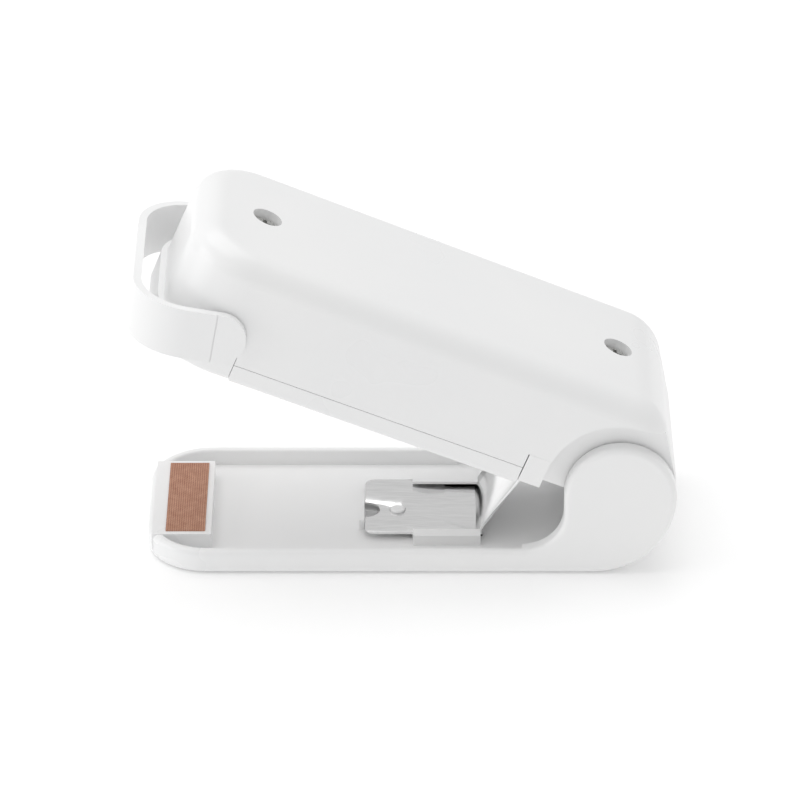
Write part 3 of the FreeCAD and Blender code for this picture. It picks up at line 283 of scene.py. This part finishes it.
# %% Metals
def rolled_metal(name, dark, light, gloss, lines=(12, 1, 12), along_jaw=False):
    """Metal with fine lines, between two tones and two roughnesses."""
    metal, tree, shader = new_finish(name, gloss[0], metallic=1)
    streaks = drift(tree, place_on_piece(tree, along_jaw, lines), 0.004, detail=4)
    tree.links.new(ramp(tree, streaks, [(0.3, dark), (0.7, light)]), shader.inputs["Base Color"])
    tree.links.new(between(tree, streaks, *gloss), shader.inputs["Roughness"])
    relief(tree, shader, streaks, 0.000001, 0.4)
    return metal


steel = rolled_metal("polished_spring_steel", (0.84, 0.84, 0.84), (0.92, 0.92, 0.92), (0.1, 0.18),
                     lines=(1, 8, 1))
dress(rolled_metal("zinc_screw_steel", (0.55, 0.55, 0.54), (0.78, 0.78, 0.76), (0.22, 0.36),
                   lines=(3, 3, 3)), "shell_screws")
dress(rolled_metal("nickel_plate", (0.66, 0.63, 0.57), (0.84, 0.81, 0.74), (0.18, 0.32),
                   along_jaw=True), "positive_contact", "negative_contact", "bridge_contact")
dress(rolled_metal("copper_alloy", (0.56, 0.33, 0.17), (0.76, 0.49, 0.26), (0.2, 0.34),
                   along_jaw=True), "switch_blade")
dress(rolled_metal("tinned_brass", (0.58, 0.52, 0.38), (0.78, 0.73, 0.6), (0.26, 0.4),
                   along_jaw=True), "terminal_lugs")
dress(rolled_metal("heating_alloy", (0.17, 0.15, 0.16), (0.36, 0.32, 0.33), (0.35, 0.5),
                   lines=(40, 1, 40), along_jaw=True), "heater_strip")

# %% [markdown]
# ## Return spring
# The spring is a bent strip of polished steel. Its flat leg lies in the tray and its raised leg pushes the
# jaws apart, so it has to flex when they close. A single surface is bent first: a plane for the flat leg, a
# spin for the fold and a row of extrusions for the raised leg. Only then does Solidify give it thickness,
# which keeps the sheet equally thick round the fold.

# %% Spring sheet
FRONT, FOLD, BED = -0.0079, 0.012575, 0.0023
HALF_WIDTH, SHEET = 0.0093, 0.0004
RISE = math.radians(56)
FOLD_STEPS, LEG_STEPS = 8, 14
LEG_LENGTH = 0.016275
TOUCH = 1e-5
leg = Vector((math.cos(RISE), 0, math.sin(RISE))) * LEG_LENGTH

bpy.ops.mesh.primitive_plane_add(size=1, location=((FRONT + FOLD) / 2, 0, BED))
spring = bpy.context.object
spring.name = "bent_spring"
spring.scale = (FOLD - FRONT, 2 * HALF_WIDTH, 1)
bpy.ops.object.transform_apply(location=True, rotation=True, scale=True)


def pick_edges(piece, chosen):
    """Select the edges whose two ends both pass the test, in edit mode."""
    bpy.ops.object.mode_set(mode="EDIT")
    bpy.ops.mesh.select_mode(type="EDGE")
    bpy.ops.mesh.select_all(action="DESELECT")
    bpy.ops.object.mode_set(mode="OBJECT")
    for edge in piece.data.edges:
        edge.select = all(chosen(piece.data.vertices[i].co) for i in edge.vertices)
    bpy.ops.object.mode_set(mode="EDIT")


pick_edges(spring, lambda spot: abs(spot.x - FOLD) < TOUCH)
bpy.ops.mesh.spin(steps=FOLD_STEPS, angle=RISE, center=(FOLD, 0, BED + 2 * SHEET), axis=(0, -1, 0))
for step in range(LEG_STEPS):
    bpy.ops.mesh.extrude_region_move(TRANSFORM_OT_translate={"value": leg / LEG_STEPS})
bpy.ops.mesh.select_all(action="SELECT")
bpy.ops.mesh.normals_make_consistent(inside=False)
bpy.ops.object.mode_set(mode="OBJECT")
print("spring sheet ends at", [round(v * 1000, 2) for v in spring.data.vertices[-1].co])

# %% [markdown]
# A slim cylinder cuts the half-round notch at the front edge, and a second one the hole for the locating
# pin. The corners of the flat leg are rounded, and a tiny bevel catches the light along every edge.

# %% Spring thickness, notch and hole
def modify(piece, kind, **settings):
    """Add a modifier and apply it at once."""
    bpy.ops.object.select_all(action="DESELECT")
    piece.select_set(True)
    bpy.context.view_layer.objects.active = piece
    modifier = piece.modifiers.new(kind.title(), kind)
    for key, value in settings.items():
        setattr(modifier, key, value)
    bpy.ops.object.modifier_apply(modifier=modifier.name)


NOTCH_RADIUS, HOLE_RADIUS = 0.0026, 0.0014
PIN_SETBACK, PIN_SHIFT = 0.0057, 0.0014
CORNER_RADIUS, EDGE_BEVEL = 0.0017, 0.00005
CUTTER_DEPTH = 0.004

up_facing = spring.data.polygons[0].normal.z > 0
modify(spring, "SOLIDIFY", thickness=SHEET, offset=1 if up_facing else -1, use_even_offset=True)
for radius, x in ((NOTCH_RADIUS, FRONT), (HOLE_RADIUS, FRONT + PIN_SETBACK)):
    bpy.ops.mesh.primitive_cylinder_add(vertices=64, radius=radius, depth=CUTTER_DEPTH,
                                        location=(x, -PIN_SHIFT, BED))
    cutter = bpy.context.object
    modify(spring, "BOOLEAN", operation="DIFFERENCE", solver="EXACT", object=cutter)
    bpy.data.objects.remove(cutter)
pick_edges(spring, lambda spot: abs(spot.x - FRONT) < TOUCH and abs(abs(spot.y) - HALF_WIDTH) < TOUCH)
bpy.ops.mesh.bevel(offset=CORNER_RADIUS, segments=6, affect="EDGES")
bpy.ops.object.mode_set(mode="OBJECT")
modify(spring, "BEVEL", width=EDGE_BEVEL, segments=2, limit_method="ANGLE", angle_limit=math.radians(40))
bpy.ops.object.shade_smooth_by_angle(angle=math.radians(35))
spring.data.materials.append(steel)
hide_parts("leaf_spring")
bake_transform(spring)
print("spring faces:", len(spring.data.polygons))

# %% [markdown]
# ## Batteries
# Two AA cells lie under the door. Each has a plain wrap in two tones over a steel can, and the can shows as
# a bright ring at both ends. The wrap's colours only depend on the distance along the cell.

# %% Cells
CELL_FRONT, CELL_REAR = -0.069, -0.0163


def cell_wrap(name, stops):
    """Two-tone wrap along a cell, from the nose of the jaw towards the hinge."""
    wrap, tree, shader = new_finish(name, 0.3)
    split = tree.nodes.new("ShaderNodeSeparateXYZ")
    tree.links.new(place_on_piece(tree, along_jaw=True), split.inputs["Vector"])
    span = tree.nodes.new("ShaderNodeMapRange")
    span.inputs["From Min"].default_value = CELL_FRONT
    span.inputs["From Max"].default_value = CELL_REAR
    tree.links.new(split.outputs["X"], span.inputs["Value"])
    tree.links.new(ramp(tree, span.outputs["Result"], stops, "CONSTANT"), shader.inputs["Base Color"])
    fine = drift(tree, place_on_piece(tree), 0.002)
    tree.links.new(between(tree, fine, 0.22, 0.38), shader.inputs["Roughness"])
    relief(tree, shader, fine, 0.00002, 0.3)
    return wrap


BARE, DARK, BRIGHT = (0.6, 0.6, 0.58), (0.015, 0.03, 0.05), (0.55, 0.33, 0.06)
dress(cell_wrap("cell_wrap_left", [(0, BARE), (0.05, BRIGHT), (0.33, DARK), (0.97, BARE)]), "aa_cell_left")
dress(cell_wrap("cell_wrap_right", [(0, BARE), (0.03, DARK), (0.67, BRIGHT), (0.95, BARE)]),
      "aa_cell_right")

# %% [markdown]
# ## Heater head and wires
# The rubber under the tape is red silicone, the insulating block is a brown phenolic with a faint mottle,
# mica is a glossy amber sheet, and the wires have a red or black coat of soft plastic.

# %% Insulators
def mottled(name, dark, light, grain, roughness, depth=0.00002):
    """Plastic, rubber or mineral with blotches of the given size."""
    stuff, tree, shader = new_finish(name, roughness)
    blotch = drift(tree, place_on_piece(tree), grain, detail=5)
    tree.links.new(ramp(tree, blotch, [(0.35, dark), (0.65, light)]), shader.inputs["Base Color"])
    tree.links.new(between(tree, blotch, roughness - 0.08, roughness + 0.08), shader.inputs["Roughness"])
    relief(tree, shader, blotch, depth, 0.4)
    return stuff


dress(mottled("red_silicone", (0.30, 0.035, 0.02), (0.38, 0.05, 0.03), 0.001, 0.6), "silicone_pad")
dress(mottled("brown_phenolic", (0.035, 0.016, 0.008), (0.085, 0.04, 0.02), 0.0015, 0.42), "heater_carrier")
dress(mottled("amber_mica", (0.33, 0.21, 0.09), (0.52, 0.38, 0.2), 0.003, 0.18, 0.000008), "mica_sheet")
dress(mottled("red_wire_coat", (0.42, 0.015, 0.012), (0.5, 0.022, 0.016), 0.002, 0.36), "heater_lead")
dress(mottled("black_wire_coat", (0.012, 0.012, 0.013), (0.02, 0.02, 0.022), 0.002, 0.38), "blade_lead")
